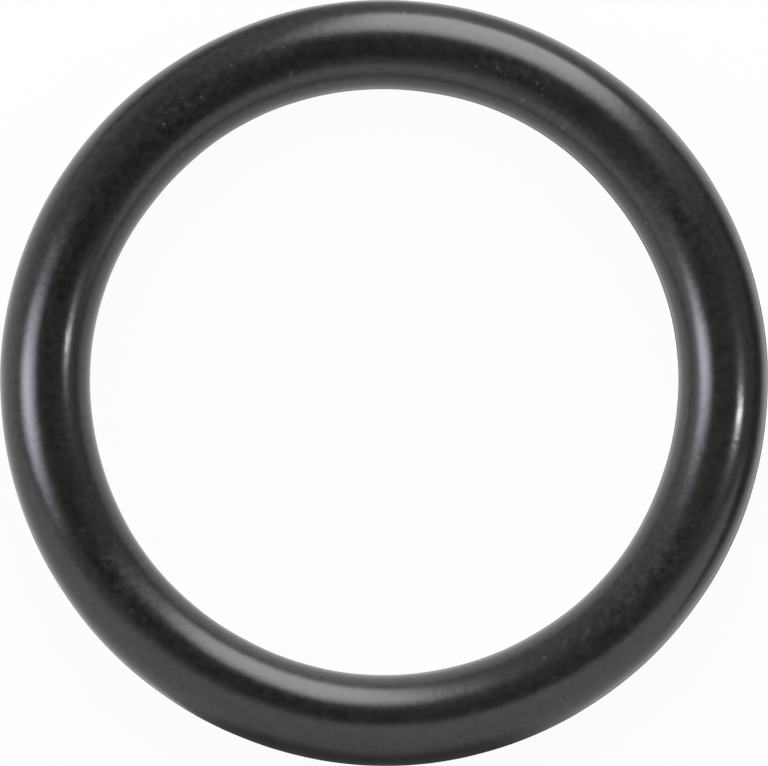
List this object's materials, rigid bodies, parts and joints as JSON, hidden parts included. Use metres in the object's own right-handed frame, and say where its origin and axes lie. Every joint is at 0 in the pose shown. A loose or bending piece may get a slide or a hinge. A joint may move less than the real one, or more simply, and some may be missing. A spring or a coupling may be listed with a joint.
{
  "type": "rubber o-ring",
  "caption": "Black rubber o-ring of round section with a trimmed parting line inside and out; seals round a shaft, in a bore or under a flange.",
  "frame": {"origin": "centre of the ring, on its parting plane at the middle of the section", "axes": "+Z along the ring's axis, square to the plane that it lies in; the ring is round about Z, so +X and +Y are free"},
  "size_m": [0.0306, 0.0306, 0.0036],
  "materials": {
    "black_rubber": "satin"
  },
  "bodies": {
    "root": {"o_ring": "black_rubber"}
  },
  "joints": []
}
